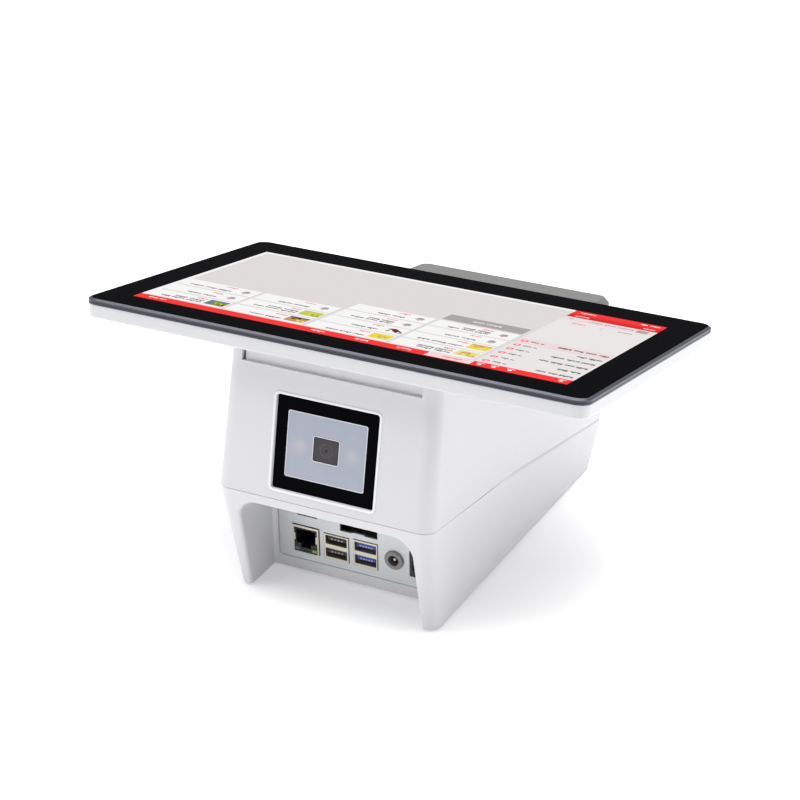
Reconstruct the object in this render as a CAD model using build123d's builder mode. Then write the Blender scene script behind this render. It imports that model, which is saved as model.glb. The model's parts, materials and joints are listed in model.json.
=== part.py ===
# Desktop self checkout terminal: a landscape touch screen on a wedge-shaped body, with a barcode scanner
# window and a connector bay on the near side (-Y) and a receipt printer on the operator's side (+Y).
# World frame: +Z up, Z = 0 on the surface it stands on, origin under the middle of its overall box.
# The screen and the printer share a tilted frame, here called the deck frame: X across, Y away from the
# scanner side along the screen, N square to the screen, with its origin at the middle of the picture.
import os
from math import atan2, cos, degrees, pi, radians, sin

from build123d import *

os.makedirs("parts", exist_ok=True)

# ---------------------------------------------------------------- driving dimensions, mm and degrees
TILT = 11.5                                   # the screen falls towards the operator by this much
PICTURE_Y = -26.27                            # world place of the picture's middle
PICTURE_Z = 142.2
FOOT_H = 1.5                                  # rubber feet stand proud of the floor by this

# screen unit, in the deck frame
GLASS_X = 145.2                               # half width
GLASS_Y = (-90.3, 96.5)                       # near and far edges
GLASS_R = 6.0
GLASS_T = 1.8
BEZEL_OUT = 1.84                              # bezel stands outside the glass by this
BEZEL_N = -3.4
HOUSING_OUT = 1.5
HOUSING_N = -11.2
HOUSING_WALL = 2.0
LCD_X = 133.0
LCD_Y = (-77.0, 81.0)
LCD_N = -4.8
CHASSIS_N = -5.8

# body shells: near edge, far edge and half width at two heights of the deck frame
DECK_N = -13.6
UPPER_TOP = (DECK_N, -79.65, 155.7, 62.5, 8.0)
UPPER_LOW = (-96.0, -81.38, 160.9, 65.1, 8.2)
LOWER_TOP = (-84.0, -84.6, 160.7, 65.15, 8.2)
LOWER_LOW = (-158.0, -55.3, 133.3, 61.0, 7.0)
PARTING = ((-100.0, -93.7), (25.7, -85.2), (180.0, -85.2))
WALL = 2.5
FLOOR_Z = FOOT_H
FLOOR_T = 2.5

# connector bay between the legs, world frame
BAY_HALF_TOP = 52.1
BAY_HALF_LOW = 53.0
BAY_TOP_Z = 61.2
BAY_R = 12.0
BAY_Y = -86.6                                 # face of the metal plate
PLATE_X = 49.3
PLATE_Z = (8.3, 57.0)
PLATE_T = 1.2
PLATE_GAP = 0.4
BOARD_Z = (11.8, 13.4)

# scanner window on the near face
SCAN_N = -60.2
SCAN_FRAME = (66.0, 57.0)
SCAN_GLASS = (60.8, 51.8)
SCAN_DIFFUSER = (47.7, 36.8)
SCAN_LENS = (16.0, 14.2)
NEAR_SLOPE = 0.02094                          # the near face leans this much per mm of N

# screen hinge, along X
HINGE_Y, HINGE_N = -73.5, -16.5
HINGE_R = 2.4
HINGE_PIN_R = 1.3
HINGE_X = 38.0
NOTCH_X = 53.4
NOTCH_N = -20.2
STRIP_Y = (-77.8, -76.3)
RUN_GAP = 0.05                                # radial running clearance of pins and shafts
FREE_GAP = 0.3                                # gap between pieces that move past each other

# receipt printer, in the deck frame
COVER_X = 64.0
COVER_Y = (108.5, 156.2)                      # hinge line and free edge
COVER_TOP = -9.4
COVER_LOW = -18.0
COVER_R = 8.0
COVER_BEVEL = 3.0
COVER_WALL = 2.2
RIM_R = 4.6                                   # round hinge rim, also the hinge line's depth under the top
COVER_HINGE_N = COVER_TOP - RIM_R
ROD_R = 1.5
STEP_Y = 103.2                                # the deck steps down here to take the cover
STEP_N = -19.0
WELL_X = 49.0
WELL_Y = (104.6, 152.6)
EXIT_X = 41.5
EXIT_N = (-29.5, -22.0)
ROLL_Y, ROLL_N = 126.0, -54.5
ROLL_R, ROLL_X = 22.5, 39.8
CORE_R = 8.5
SPINDLE_R = 6.0
PLATEN_Y, PLATEN_N = 142.5, -20.2
PLATEN_R, PLATEN_X = 5.0, 39.5
SHAFT_R = 2.0
BUSH_R = 3.2
FRAME_X = (42.6, 44.6)
GEAR_X = (45.4, 48.4)
MODULE = 0.8
PLATEN_TEETH, IDLER_TEETH, PINION_TEETH = 18, 25, 12
MESH_PLAY = 0.15
MOTOR_R, MOTOR_L = 10.0, 9.0

# ---------------------------------------------------------------- planes
X_DIR = (1, 0, 0)
DECK = Plane(origin=(0, PICTURE_Y, PICTURE_Z), x_dir=X_DIR, z_dir=(0, sin(radians(TILT)), cos(radians(TILT))))
SIDE = Plane(origin=DECK.origin, x_dir=DECK.y_dir, z_dir=X_DIR)          # (Y, N) of the deck frame
END = Plane(origin=DECK.origin, x_dir=X_DIR, z_dir=-DECK.y_dir)          # (X, N), depth to the near side
NEAR_Y = UPPER_TOP[1] + NEAR_SLOPE * (SCAN_N - DECK_N)
NEAR_FACE = Plane(
    origin=DECK.from_local_coords((0, NEAR_Y, SCAN_N)),
    x_dir=X_DIR,
    z_dir=DECK.z_dir * NEAR_SLOPE - DECK.y_dir,
)
BAY_FACE = Plane(origin=(0, BAY_Y, 0), x_dir=X_DIR, z_dir=(0, -1, 0))    # (X, Z), depth to the near side
GROUND = Plane.XY


# ---------------------------------------------------------------- helpers, used inside a BuildPart block
def block(plane, x, y, depth, mode=Mode.ADD, radius=0.0):
    """A box between low and high values of x, y and depth, measured in the plane."""
    with BuildSketch(plane.offset(depth[0])) as outline:
        with Locations(((x[0] + x[1]) / 2, (y[0] + y[1]) / 2)):
            if radius:
                RectangleRounded(x[1] - x[0], y[1] - y[0], radius)
            else:
                Rectangle(x[1] - x[0], y[1] - y[0])
    extrude(outline.sketch, amount=depth[1] - depth[0], mode=mode)


def rods(plane, centres, radius, depth, mode=Mode.ADD, bore=0.0):
    """Round bars or holes at the given centres, with a bore when one is named."""
    with BuildSketch(plane.offset(depth[0])) as outline:
        with Locations(*centres):
            Circle(radius)
            if bore:
                Circle(bore, mode=Mode.SUBTRACT)
    extrude(outline.sketch, amount=depth[1] - depth[0], mode=mode)


def profile(plane, points, depth, mode=Mode.ADD):
    """A prism over a straight-sided outline."""
    with BuildSketch(plane.offset(depth[0])) as outline:
        with BuildLine():
            Polyline(*points, close=True)
        make_face()
    extrude(outline.sketch, amount=depth[1] - depth[0], mode=mode)


def screws(plane, centres, seat, head, shank, down=1):
    """Pan-head screws: head is (radius, height), shank is (radius, length), down is the shank's side."""
    rods(plane, centres, head[0], (seat, seat + head[1] * down) if down > 0 else (seat - head[1], seat))
    rods(plane, centres, shank[0], (seat - shank[1], seat) if down > 0 else (seat, seat + shank[1]))
    rods(plane, centres, head[0] * 0.4, (seat + head[1] * 0.5, seat + head[1]) if down > 0
         else (seat - head[1], seat - head[1] * 0.5), Mode.SUBTRACT)


def drafted(top, low, inset=0.0, mode=Mode.ADD):
    """A drafted block with round corners between two sections (N, near, far, half width, radius)."""
    faces = []
    for n, near, far, half, radius in (top, low):
        with BuildSketch(DECK.offset(n)) as section:
            with Locations((0, (near + far) / 2)):
                RectangleRounded(2 * (half - inset), far - near - 2 * inset, radius - inset)
        faces.append(section.sketch.face())
    loft(faces, ruled=True, mode=mode)


def between(low, high, n):
    """The section at height n of a drafted block."""
    share = (n - low[0]) / (high[0] - low[0])
    return (n, *(a + (b - a) * share for a, b in zip(low[1:], high[1:])))


def gear(plane, centre, teeth, width, bore, first_tooth):
    """A spur gear with straight-flanked teeth; first_tooth is the angle of one tooth's middle in degrees."""
    pitch_r = MODULE * teeth / 2
    root_r = pitch_r - 1.25 * MODULE
    tip_r = pitch_r + 0.9 * MODULE
    half_root, half_tip = 0.62 * MODULE * pi / 2, 0.28 * MODULE * pi / 2
    with BuildSketch(plane.offset(width[0])) as outline:
        with Locations(centre):
            Circle(root_r)
            with PolarLocations(0, teeth, start_angle=first_tooth):
                foot_r = root_r - 0.3
                Polygon((foot_r, -half_root), (tip_r, -half_tip), (tip_r, half_tip), (foot_r, half_root),
                        align=None)
            if bore:
                Circle(bore, mode=Mode.SUBTRACT)
    extrude(outline.sketch, amount=width[1] - width[0])


def finish(builder, name):
    """Label a piece and write it to its own file."""
    builder.part.label = name
    export_step(builder.part, f"parts/{name}.step")
    print(f"{name}: {len(builder.part.solids())} solid(s), {builder.part.volume / 1000:.2f} cm3")


N_AXIS = Axis(DECK.origin, DECK.z_dir)
DECK_Y_AXIS = Axis(DECK.origin, DECK.y_dir)
SIDES = (-1, 1)


def glass_section(n, out):
    """The glass outline, grown by out, at height n."""
    return (n, GLASS_Y[0] - out, GLASS_Y[1] + out, GLASS_X + out, GLASS_R + out)


def glass_block(out, depth, mode=Mode.ADD):
    """A straight block over the grown glass outline."""
    span_x, span_y = (-GLASS_X - out, GLASS_X + out), (GLASS_Y[0] - out, GLASS_Y[1] + out)
    block(DECK, span_x, span_y, depth, mode, GLASS_R + out)


# ---------------------------------------------------------------- screen unit
BEVEL_N = -1.0                                # foot of the bezel's sloping lip
GLASS_FIT = 0.15
BEZEL_LEDGE = 4.0
GROOVE_N = (-2.5, -2.1)
GROOVE_DEPTH = 0.4
CHASSIS_POINTS = [(x, y) for x in (-137.0, 137.0) for y in (-60.0, 66.0)]
LEAF_N = (-12.7, HOUSING_N)
LEAF_Y = (-74.6, -50.0)
LEAF_HALF = 13.0
KNUCKLE_HALF = 6.0
LEAF_POINTS = [(side * HINGE_X + dx, -57.0) for side in SIDES for dx in (-8.5, 8.5)]
CABLE_HOLE = ((-12.0, 12.0), (-44.0, -36.0))

with BuildPart() as cover_glass:
    glass_block(0, (-GLASS_T, 0))
    chamfer(cover_glass.faces().sort_by(N_AXIS)[-1].edges(), 0.25)
finish(cover_glass, "cover_glass")

with BuildPart() as screen_bezel:
    drafted(glass_section(BEVEL_N, BEZEL_OUT), glass_section(BEZEL_N, BEZEL_OUT))
    drafted(glass_section(-0.15, 0.35), glass_section(BEVEL_N, BEZEL_OUT))
    glass_block(GLASS_FIT, (-GLASS_T, 1), Mode.SUBTRACT)
    glass_block(-BEZEL_LEDGE, (BEZEL_N - 1, 1), Mode.SUBTRACT)
    with BuildSketch(DECK.offset(GROOVE_N[0])) as groove:
        for out, mode in ((BEZEL_OUT + 2, Mode.ADD), (BEZEL_OUT - GROOVE_DEPTH, Mode.SUBTRACT)):
            with Locations((0, (GLASS_Y[0] + GLASS_Y[1]) / 2)):
                length = GLASS_Y[1] - GLASS_Y[0] + 2 * out
                RectangleRounded(2 * (GLASS_X + out), length, GLASS_R + out, mode=mode)
    extrude(groove.sketch, amount=GROOVE_N[1] - GROOVE_N[0], mode=Mode.SUBTRACT)
finish(screen_bezel, "screen_bezel")

with BuildPart() as lcd_panel:
    block(DECK, (-LCD_X, LCD_X), LCD_Y, (LCD_N, -GLASS_T), radius=1.0)
finish(lcd_panel, "lcd_panel")

with BuildPart() as screen_chassis:
    block(DECK, (-140, 140), (-82, 88), (CHASSIS_N, LCD_N), radius=3)
    rods(DECK, CHASSIS_POINTS, 1.5, (CHASSIS_N - 1, 0), Mode.SUBTRACT)
    for side in SIDES:
        for y in (-30, 30):
            window_x, window_y = (side * 90 - 25, side * 90 + 25), (y - 14, y + 14)
            block(DECK, window_x, window_y, (CHASSIS_N - 1, 0), Mode.SUBTRACT, 4)
finish(screen_chassis, "screen_chassis")

with BuildPart() as chassis_screws:
    screws(DECK, CHASSIS_POINTS, LCD_N, (2.7, 1.1), (1.5, 3.6))
finish(chassis_screws, "chassis_screws")

with BuildPart() as display_board:
    block(DECK, (-45, 45), (28, 56), (CHASSIS_N - 1.2, CHASSIS_N), radius=1)
    for x in (-30, -8, 18):
        block(DECK, (x, x + 12), (36, 48), (CHASSIS_N - 2.2, CHASSIS_N - 1.2))
    block(DECK, (34, 42), (32, 52), (CHASSIS_N - 2.8, CHASSIS_N - 1.2))
finish(display_board, "display_board")

with BuildPart() as screen_rear_housing:
    drafted(glass_section(BEZEL_N, HOUSING_OUT), glass_section(HOUSING_N, HOUSING_OUT - 0.35))
    fillet(screen_rear_housing.faces().sort_by(N_AXIS)[0].edges(), 1.8)
    glass_block(-0.7, (HOUSING_N + HOUSING_WALL, 1), Mode.SUBTRACT)
    rods(DECK, CHASSIS_POINTS, 3.6, (HOUSING_N + 1, CHASSIS_N))
    rods(DECK, CHASSIS_POINTS, 1.5, (LCD_N - 3.6, CHASSIS_N + 1), Mode.SUBTRACT)
    rods(DECK, LEAF_POINTS, 3.6, (HOUSING_N + 1, CHASSIS_N - 0.6))
    rods(DECK, LEAF_POINTS, 1.5, (HOUSING_N - 1, HOUSING_N + 3), Mode.SUBTRACT)
    block(DECK, *CABLE_HOLE, (HOUSING_N - 1, HOUSING_N + 3), Mode.SUBTRACT, 2)
    for side in SIDES:
        for row in range(9):
            y = 6 + 6 * row
            block(DECK, (side * 108 - 15, side * 108 + 15), (y, y + 2.4), (HOUSING_N - 1, HOUSING_N + 3),
                  Mode.SUBTRACT, 1.1)
finish(screen_rear_housing, "screen_rear_housing")

with BuildPart() as hinge_screen_leaves:
    for side in SIDES:
        centre = side * HINGE_X
        knuckle = (centre - KNUCKLE_HALF, centre + KNUCKLE_HALF)
        block(DECK, (centre - LEAF_HALF, centre + LEAF_HALF), LEAF_Y, LEAF_N)
        block(DECK, knuckle, (LEAF_Y[0], LEAF_Y[0] + 2.2), (HINGE_N + 1, LEAF_N[1]))
        rods(SIDE, [(HINGE_Y, HINGE_N)], HINGE_R, knuckle)
        rods(SIDE, [(HINGE_Y, HINGE_N)], HINGE_PIN_R + RUN_GAP, knuckle, Mode.SUBTRACT)
    rods(DECK, LEAF_POINTS, 2.7, (LEAF_N[0], LEAF_N[0] + 0.8), Mode.SUBTRACT)
    rods(DECK, LEAF_POINTS, 1.5, LEAF_N, Mode.SUBTRACT)
finish(hinge_screen_leaves, "hinge_screen_leaves")

with BuildPart() as hinge_leaf_screws:
    screws(DECK, LEAF_POINTS, LEAF_N[0] + 0.8, (2.6, 0.8), (1.5, 3.2), down=-1)
finish(hinge_leaf_screws, "hinge_leaf_screws")

# ---------------------------------------------------------------- shells
BELOW_PARTING = [*PARTING, (180.0, -220.0), (-100.0, -220.0)]
ABOVE_PARTING = [*PARTING, (180.0, 20.0), (-100.0, 20.0)]
LINE_DEPTH, LINE_HALF = 0.5, 0.2              # the shadow line between the shells
PARTING_BAND = [(y, n - LINE_HALF) for y, n in PARTING] + [(y, n + LINE_HALF) for y, n in reversed(PARTING)]
HINGE_BOSS_N = (-28.2, -22.5)
HINGE_SCREWS = [(side * HINGE_X + dx, -25.3) for side in SIDES for dx in (-9, 9)]
LEG_POST = (53.5, -74.0)
REAR_POST = (54.0, 62.0)
POSTS = [(side * x, y) for side in SIDES for x, y in (LEG_POST, REAR_POST)]
POST_R = 4.2
POST_SPAN = {LEG_POST: (62.0, 84.0), REAR_POST: (34.0, 60.0)}      # upper halves, before the parting cut
FRAME_FLANGE_Y = (106.0, 130.0)
FRAME_SCREWS = [(side * 53.5, y) for side in SIDES for y in (111.0, 125.0)]
STEP_FLOOR = STEP_N - WALL
RELEASE_AT = (126.0, -36.0)                   # (Y, N) on the -X wall
RELEASE_SIZE = (16.0, 7.0)
POWER_AT = (-52.0, -46.0)
POWER_R = 5.5
FEED_AT = (-52.0, -46.0)                      # (X, N) on the far wall
FEED_R = 4.5
LIGHT_AT = (-52.0, -34.0)
LIGHT_R = 1.6


def face_block(size, depth, mode=Mode.ADD, radius=0.0):
    """A block centred on the scanner window."""
    block(NEAR_FACE, (-size[0] / 2, size[0] / 2), (-size[1] / 2, size[1] / 2), depth, mode, radius)


def release_span(grow):
    """Y and N reach of the release button, grown all round."""
    return [(at - size / 2 - grow, at + size / 2 + grow) for at, size in zip(RELEASE_AT, RELEASE_SIZE)]


def wall_x(n):
    """Outer half width of the upper shell at height n."""
    return between(UPPER_LOW, UPPER_TOP, n)[3]


def wall_far(n):
    """Outer far face of the upper shell at height n."""
    return between(UPPER_LOW, UPPER_TOP, n)[2]


with BuildPart() as shadow_line:
    drafted(between(UPPER_LOW, UPPER_TOP, -80.0), UPPER_LOW, -LINE_DEPTH)
    drafted(between(UPPER_LOW, UPPER_TOP, -80.0), UPPER_LOW, LINE_DEPTH, Mode.SUBTRACT)
    profile(SIDE, PARTING_BAND, (-90, 90), Mode.INTERSECT)

with BuildPart() as upper_shell:
    drafted(UPPER_TOP, UPPER_LOW)
    block(DECK, (-80, 80), (STEP_Y, 200), (STEP_N, 20), Mode.SUBTRACT)
    drafted(between(UPPER_LOW, UPPER_TOP, STEP_FLOOR), UPPER_LOW, WALL, Mode.SUBTRACT)
    with BuildPart(mode=Mode.PRIVATE) as high_room:
        room_top, room_low = (between(UPPER_LOW, UPPER_TOP, n) for n in (DECK_N - WALL, STEP_FLOOR - 1))
        drafted(room_top, room_low, WALL)
        block(DECK, (-80, 80), (STEP_Y - WALL, 200), (-60, 20), Mode.SUBTRACT)
    add(high_room.part, mode=Mode.SUBTRACT)
    for side in SIDES:
        centre = side * HINGE_X
        block(DECK, (centre - 12, centre + 12), (-78.5, -72.3), HINGE_BOSS_N)
    for side in SIDES:
        for post, span in POST_SPAN.items():
            rods(GROUND, [(side * post[0], post[1])], POST_R, span)
            wall_side = sorted((side * post[0], side * (post[0] + 8.5)))
            block(GROUND, wall_side, (post[1] - 1, post[1] + 1), span)
    rods(GROUND, POSTS, 1.5, (20, 80), Mode.SUBTRACT)
    profile(SIDE, BELOW_PARTING, (-90, 90), Mode.SUBTRACT)
    block(DECK, (-NOTCH_X, NOTCH_X), (-90, -69), (NOTCH_N, 10), Mode.SUBTRACT)
    block(DECK, *CABLE_HOLE, (DECK_N - 10, DECK_N + 1), Mode.SUBTRACT, 2)
    block(DECK, (-WELL_X, WELL_X), WELL_Y, (STEP_N - 10, STEP_N + 1), Mode.SUBTRACT, 1.5)
    block(END, (-EXIT_X, EXIT_X), EXIT_N, (-170, -150), Mode.SUBTRACT)
    face_block(SCAN_FRAME, (-8, 5), Mode.SUBTRACT, 3)
    block(SIDE, *release_span(FREE_GAP), (-70, -56), Mode.SUBTRACT, 2.3)
    rods(SIDE, [POWER_AT], POWER_R + FREE_GAP, (-70, -56), Mode.SUBTRACT)
    rods(END, [FEED_AT], FEED_R + FREE_GAP, (-170, -150), Mode.SUBTRACT)
    rods(END, [LIGHT_AT], LIGHT_R, (-170, -150), Mode.SUBTRACT)
    rods(END, HINGE_SCREWS, 1.5, (70, 77), Mode.SUBTRACT)
    rods(DECK, FRAME_SCREWS, 1.5, (STEP_FLOOR - 1, STEP_FLOOR + 2), Mode.SUBTRACT)
    add(shadow_line.part, mode=Mode.SUBTRACT)
finish(upper_shell, "upper_shell")

FLOOR_TOP = FLOOR_Z + FLOOR_T
COVER_HALF, COVER_SPAN = 46.0, (-70.0, 82.0)  # service cover under the body
COVER_LEDGE = 8.0
COVER_T = 1.5
SERVICE_POINTS = [(side * x, y) for side in SIDES for x, y in ((25.0, -66.0), (42.0, 30.0), (25.0, 78.0))]
STANDOFFS = [(side * 43.5, y) for side in SIDES for y in (-56.0, 14.0)]
POCKET_X = (55.3, 58.8)
POCKET_Y = (-108.0, -89.5)
ARCH_SOFT = 1.8                               # soft edge of the arch on the near face


def bay_outline(grow=0.0):
    """The arch of the connector bay, seen from the near side."""
    low, top = BAY_HALF_LOW + grow, BAY_HALF_TOP + grow
    with BuildSketch(BAY_FACE) as arch:
        with BuildLine():
            Polyline((-low, -20), (-top, BAY_TOP_Z + grow), (top, BAY_TOP_Z + grow), (low, -20), close=True)
        make_face()
        fillet(arch.vertices().group_by(Axis.Z)[-1], BAY_R + grow)
    return arch.sketch


with BuildPart() as lower_room:
    drafted(LOWER_TOP, LOWER_LOW, WALL)
    block(GROUND, (-90, 90), (-200, BAY_Y + WALL), (-60, 200), Mode.SUBTRACT)
    block(GROUND, (-90, 90), (-200, 200), (-60, FLOOR_TOP), Mode.SUBTRACT)

with BuildPart() as lower_shell:
    drafted(LOWER_TOP, LOWER_LOW)
    block(GROUND, (-90, 90), (-200, 200), (-60, FLOOR_Z), Mode.SUBTRACT)
    far_low = lower_shell.edges().filter_by(Axis.X).group_by(Axis.Z)[0].sort_by(Axis.Y)[-1]
    fillet(far_low, 4)
    add(lower_room.part, mode=Mode.SUBTRACT)
    extrude(bay_outline(), amount=80, mode=Mode.SUBTRACT)
    leg_front = lower_shell.faces().filter_by(GeomType.PLANE).group_by(Axis.Y)[0].sort_by(SortBy.AREA)[-1]
    inner_edges = [edge for edge in leg_front.edges() if abs(edge.center().X) < BAY_HALF_LOW]
    fillet([edge for edge in inner_edges if edge.center().Z > 10], ARCH_SOFT)
    block(GROUND, (-50, 50), (-119.5, BAY_Y + WALL), (BAY_TOP_Z + WALL, 90), Mode.SUBTRACT)
    for side in SIDES:
        pocket = sorted((side * POCKET_X[0], side * POCKET_X[1]))
        block(GROUND, pocket, POCKET_Y, (FLOOR_TOP, 90), Mode.SUBTRACT)
    block(BAY_FACE, (-PLATE_X, PLATE_X), PLATE_Z, (-6, 1), Mode.SUBTRACT, 2.6)
    for side in SIDES:
        for post in (LEG_POST, REAR_POST):
            rods(GROUND, [(side * post[0], post[1])], POST_R, (FLOOR_Z, 80))
            wall_side = sorted((side * post[0], side * (post[0] + 6)))
            block(GROUND, wall_side, (post[1] - 1, post[1] + 1), (FLOOR_Z, 80))
    rods(GROUND, SERVICE_POINTS, 3.2, (FLOOR_Z + 1, FLOOR_Z + 7))
    rods(GROUND, POSTS, 1.6, (0, 80), Mode.SUBTRACT)
    rods(GROUND, POSTS, 3.2, (0, FLOOR_Z + 6), Mode.SUBTRACT)
    block(GROUND, (-COVER_HALF - FREE_GAP, COVER_HALF + FREE_GAP),
          (COVER_SPAN[0] - FREE_GAP, COVER_SPAN[1] + FREE_GAP), (0, FLOOR_Z + COVER_T), Mode.SUBTRACT, 3)
    block(GROUND, (-COVER_HALF + COVER_LEDGE, COVER_HALF - COVER_LEDGE),
          (COVER_SPAN[0] + COVER_LEDGE, COVER_SPAN[1] - COVER_LEDGE), (0, FLOOR_TOP + 1), Mode.SUBTRACT, 2)
    rods(GROUND, SERVICE_POINTS, 1.4, (0, FLOOR_Z + 5), Mode.SUBTRACT)
    rods(GROUND, STANDOFFS, 1.3, (FLOOR_Z, FLOOR_TOP + 1), Mode.SUBTRACT)
    profile(SIDE, ABOVE_PARTING, (-90, 90), Mode.SUBTRACT)
    add(shadow_line.part, mode=Mode.SUBTRACT)
finish(lower_shell, "lower_shell")

SPEAKER_AT = (0.0, 44.0)
SPEAKER_R = 17.0
with BuildPart() as bottom_cover:
    block(GROUND, (-COVER_HALF, COVER_HALF), COVER_SPAN, (FLOOR_Z, FLOOR_Z + COVER_T), radius=2.7)
    rods(GROUND, SERVICE_POINTS, 2.8, (0, FLOOR_Z + 0.8), Mode.SUBTRACT)
    rods(GROUND, SERVICE_POINTS, 1.4, (0, 10), Mode.SUBTRACT)
    for row in range(-2, 3):
        block(GROUND, (-11, 11), (SPEAKER_AT[1] + 5 * row - 1, SPEAKER_AT[1] + 5 * row + 1), (0, 10),
              Mode.SUBTRACT, 0.9)
finish(bottom_cover, "bottom_cover")

with BuildPart() as service_screws:
    screws(GROUND, SERVICE_POINTS, FLOOR_Z + 0.8, (2.7, 0.8), (1.4, 4.2), down=-1)
finish(service_screws, "service_screws")

with BuildPart() as case_screws:
    for side in SIDES:
        for post, span in POST_SPAN.items():
            screws(GROUND, [(side * post[0], post[1])], FLOOR_Z + 6, (3.0, 2.4), (1.5, span[1] - 12), down=-1)
finish(case_screws, "case_screws")

FEET_AT = [(side * 38.0, y) for side in SIDES for y in (-60.0, 70.0)]
with BuildPart() as rubber_feet:
    rods(GROUND, FEET_AT, 6.0, (0, FOOT_H))
    chamfer(rubber_feet.faces().group_by(Axis.Z)[0].edges(), 0.4)
finish(rubber_feet, "rubber_feet")

# ---------------------------------------------------------------- screen hinge, body half
with BuildPart() as hinge_strip:
    block(DECK, (-NOTCH_X + 1.2, NOTCH_X - FREE_GAP), STRIP_Y, (NOTCH_N, DECK_N + 0.4))
finish(hinge_strip, "hinge_strip")

with BuildPart() as hinge_base_leaves:
    for side in SIDES:
        centre = side * HINGE_X
        block(DECK, (centre - 13, centre + 13), (-72.3, -70.8), (-29.5, -20.5))
        for outer in SIDES:
            knuckle = sorted((centre + outer * (KNUCKLE_HALF + 0.2), centre + outer * 13))
            block(DECK, knuckle, (-73.4, -70.8), (-21, HINGE_N))
            rods(SIDE, [(HINGE_Y, HINGE_N)], HINGE_R, knuckle)
        rods(SIDE, [(HINGE_Y, HINGE_N)], HINGE_PIN_R, (centre - 14, centre + 14), Mode.SUBTRACT)
    rods(END, HINGE_SCREWS, 1.5, (70, 74), Mode.SUBTRACT)
finish(hinge_base_leaves, "hinge_base_leaves")

with BuildPart() as hinge_pins:
    for side in SIDES:
        rods(SIDE, [(HINGE_Y, HINGE_N)], HINGE_PIN_R, (side * HINGE_X - 13.6, side * HINGE_X + 13.6))
finish(hinge_pins, "hinge_pins")

with BuildPart() as fixing_screws:
    screws(END, HINGE_SCREWS, 70.8, (2.6, 1.2), (1.5, 5.0), down=-1)
    screws(DECK, FRAME_SCREWS, STEP_FLOOR - 2, (2.6, 1.2), (1.5, 4.0), down=-1)
finish(fixing_screws, "fixing_screws")

with BuildPart() as screen_bumpers:
    rods(DECK, [(side * 50, y) for side in SIDES for y in (-30, 80)], 5, (DECK_N, HOUSING_N - FREE_GAP))
finish(screen_bumpers, "screen_bumpers")

# ---------------------------------------------------------------- scanner
GLASS_DEPTH = (-2.7, -1.2)
RING_LOW = -4.2

with BuildPart() as scanner_frame:
    face_block(SCAN_FRAME, (RING_LOW, 0), radius=3)
    face_block((SCAN_FRAME[0] + 6, SCAN_FRAME[1] + 5), (RING_LOW, -WALL - 0.1), radius=3)
    slopes = []
    for grow, depth in ((4.0, 0.0), (0.2, GLASS_DEPTH[1])):
        with BuildSketch(NEAR_FACE.offset(depth)) as mouth:
            RectangleRounded(SCAN_GLASS[0] + grow, SCAN_GLASS[1] + grow, 1.5 + grow / 4)
        slopes.append(mouth.sketch.face())
    loft(slopes, ruled=True, mode=Mode.SUBTRACT)
    face_block((SCAN_GLASS[0] + 0.2, SCAN_GLASS[1] + 0.2), (GLASS_DEPTH[0], 1), Mode.SUBTRACT, 1.5)
    face_block((50, 39), (RING_LOW - 1, 1), Mode.SUBTRACT, 1.5)
finish(scanner_frame, "scanner_frame")

with BuildPart() as scanner_glass:
    face_block(SCAN_GLASS, GLASS_DEPTH, radius=1.4)
    face_block(SCAN_DIFFUSER, (GLASS_DEPTH[0] - 1, 1), Mode.SUBTRACT, 1.2)
finish(scanner_glass, "scanner_glass")

with BuildPart() as scanner_diffuser:
    face_block((SCAN_DIFFUSER[0] - 0.2, SCAN_DIFFUSER[1] - 0.2), (GLASS_DEPTH[0], -1.5), radius=1.1)
    face_block((SCAN_LENS[0] + 0.2, SCAN_LENS[1] + 0.2), (GLASS_DEPTH[0] - 1, 1), Mode.SUBTRACT, 0.8)
finish(scanner_diffuser, "scanner_diffuser")

with BuildPart() as scanner_lens:
    face_block(SCAN_LENS, (GLASS_DEPTH[0], -1.8), radius=0.7)
    rods(NEAR_FACE, [(0, 0)], 2.9, (-2.0, -1.6))
    rods(NEAR_FACE, [(0, 0)], 2.1, (-1.8, -1.5), Mode.SUBTRACT)
finish(scanner_lens, "scanner_lens")

with BuildPart() as scanner_engine:
    face_block((54, 44), (-22, RING_LOW), radius=2)
    face_block((49, 38), (RING_LOW, GLASS_DEPTH[0]), radius=1)
    for x in (-22, 22):
        rods(NEAR_FACE, [(x, 17), (x, -17)], 3, (-24, -22))
finish(scanner_engine, "scanner_engine")

# ---------------------------------------------------------------- connector bay
PORT_PROUD = 0.5
CUT_GAP = 0.4
ETHERNET = ((-40.0, -23.4), (BOARD_Z[1], 30.2))          # X and Z of each connector's face
USB_BLACK = ((-20.0, -4.8), (BOARD_Z[1], 29.0))
USB_BLUE = ((-1.4, 13.2), (BOARD_Z[1], 29.6))
DRAWER = ((33.2, 46.4), (15.2, 30.3))
JACK_AT = (23.6, 22.8)
JACK_R, JACK_HOLE_R, JACK_PIN_R = 5.7, 3.2, 1.0
CARD_SLOT = ((-10.0, 13.4), (32.8, 37.6))
CARD_STEP = ((-2.5, 5.2), (32.8, 33.4))
SIDE_SLOT = ((-36.8, -24.2), (36.6, 39.2))
USB_MOUTH = (13.4, 5.6)
USB_RISE = 4.05                               # each mouth's middle from the middle of the pair
USB_TONGUE = (11.4, 2.9)
TONGUE_DROP = 0.5                             # the tongue starts this far under its mouth's middle


def port_block(face, depth, mode=Mode.ADD, grow=0.0, radius=0.0):
    """A block behind the plate: face is ((x low, x high), (z low, z high)), depth is negative inwards."""
    (x0, x1), (z0, z1) = face
    block(BAY_FACE, (x0 - grow, x1 + grow), (z0 - grow, z1 + grow), depth, mode, radius)


def usb_mouths(face):
    """Centres of the two stacked mouths of a double connector."""
    x = sum(face[0]) / 2
    middle = (face[1][0] + face[1][1]) / 2 + 0.3
    return [(x, middle - USB_RISE), (x, middle + USB_RISE)]


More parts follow.
